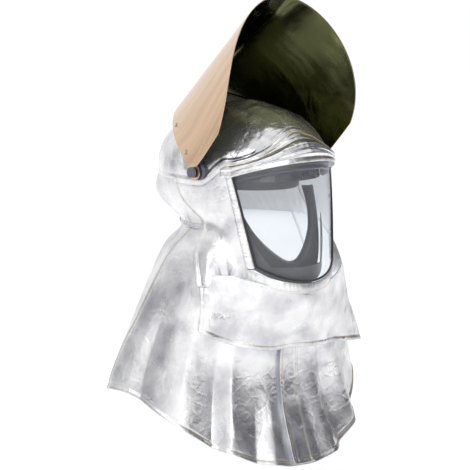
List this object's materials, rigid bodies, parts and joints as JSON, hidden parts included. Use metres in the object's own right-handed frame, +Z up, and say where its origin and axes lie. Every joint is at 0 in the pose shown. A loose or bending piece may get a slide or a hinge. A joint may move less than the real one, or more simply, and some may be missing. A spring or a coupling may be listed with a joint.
{
  "type": "face shield",
  "caption": "Aluminised protective hood and cape over a helmet, with a clear curved visor and a gold over-visor that flips up on side pivots.",
  "frame": {"origin": "centre of the head, level with the side pivots", "axes": "+Z up, the wearer faces -Y, the wearer's left is +X"},
  "size_m": [0.4504, 0.3558, 0.7371],
  "materials": {
    "aluminised_cloth": "aluminium-coated cloth, soft metallic sheen",
    "black_binding": "woven binding tape",
    "dark_plastic": "moulded, fine grain",
    "seal_rubber": "soft moulded rubber",
    "clear_sheet": "clear polycarbonate, gloss",
    "shell_plastic": "moulded helmet shell, dark",
    "grey_plastic": "moulded",
    "knob_plastic": "moulded, fluted",
    "band_plastic": "flexible band",
    "webbing": "woven webbing",
    "foam_cloth": "cloth-covered foam",
    "plated_steel": "plated",
    "gold_sheet": "gold-coated polycarbonate, mirror gloss"
  },
  "bodies": {
    "hood": {"cape_back": "aluminised_cloth", "brow_panel": "aluminised_cloth", "casing_right": "aluminised_cloth", "casing_bottom": "aluminised_cloth", "apron_right": "aluminised_cloth", "nape_pouch": "aluminised_cloth", "casing_left": "aluminised_cloth", "apron_left": "aluminised_cloth", "cape_front_right": "aluminised_cloth", "cape_front_left": "aluminised_cloth", "crown_cover": "aluminised_cloth", "bib_flap": "aluminised_cloth", "closure_strip": "aluminised_cloth", "window_binding": "black_binding", "visor_frame": "dark_plastic", "face_seal": "seal_rubber", "chin_skirt": "seal_rubber", "clear_visor": "clear_sheet", "helmet_shell": "shell_plastic", "pivot_boss_right": "grey_plastic", "friction_washer_right": "seal_rubber", "pivot_stud_right": "plated_steel", "crown_strap_right": "webbing", "strap_clip_right_front": "grey_plastic", "strap_clip_right_rear": "grey_plastic", "pivot_boss_left": "grey_plastic", "friction_washer_left": "seal_rubber", "pivot_stud_left": "plated_steel", "crown_strap_left": "webbing", "strap_clip_left_front": "grey_plastic", "strap_clip_left_rear": "grey_plastic", "headband_front": "band_plastic", "sweatband": "foam_cloth", "visor_screw_right": "plated_steel", "visor_screw_middle": "plated_steel", "visor_screw_left": "plated_steel"},
    "over_visor": {"carrier_band": "dark_plastic", "gold_visor": "gold_sheet", "carrier_screw_right_low": "plated_steel", "carrier_nut_right_low": "plated_steel", "carrier_screw_right_high": "plated_steel", "carrier_nut_right_high": "plated_steel", "carrier_screw_middle": "plated_steel", "carrier_nut_middle": "plated_steel", "carrier_screw_left_high": "plated_steel", "carrier_nut_left_high": "plated_steel", "carrier_screw_left_low": "plated_steel", "carrier_nut_left_low": "plated_steel"},
    "ratchet_band": {"rear_band": "band_plastic", "ratchet_housing": "grey_plastic", "nape_pad": "foam_cloth"},
    "ratchet_knob": {"ratchet_knob": "knob_plastic", "ratchet_pinion": "plated_steel"},
    "knob_right": {"pivot_knob_right": "knob_plastic"},
    "knob_left": {"pivot_knob_left": "knob_plastic"}
  },
  "joints": [
    {"name": "visor_flip", "type": "hinge", "parent": "hood", "child": "over_visor", "pos_m": [0, -0.038, 0], "axis": [1, 0, 0], "range_deg": [0, 125]},
    {"name": "knob_turn_right", "type": "hinge", "parent": "hood", "child": "knob_right", "pos_m": [-0.14, -0.038, 0], "axis": [1, 0, 0], "continuous": true},
    {"name": "knob_turn_left", "type": "hinge", "parent": "hood", "child": "knob_left", "pos_m": [0.14, -0.038, 0], "axis": [1, 0, 0], "continuous": true},
    {"name": "band_slide", "type": "slide", "parent": "hood", "child": "ratchet_band", "axis": [0, -1, 0], "range_m": [0, 0.02]},
    {"name": "ratchet_turn", "type": "hinge", "parent": "ratchet_band", "child": "ratchet_knob", "pos_m": [0, 0.11, -0.038], "axis": [0, 1, 0], "range_deg": [0, 229.2]}
  ],
  "couplings": [
    {"joint": "ratchet_turn", "follows": "band_slide", "rad_per_m": 200}
  ]
}
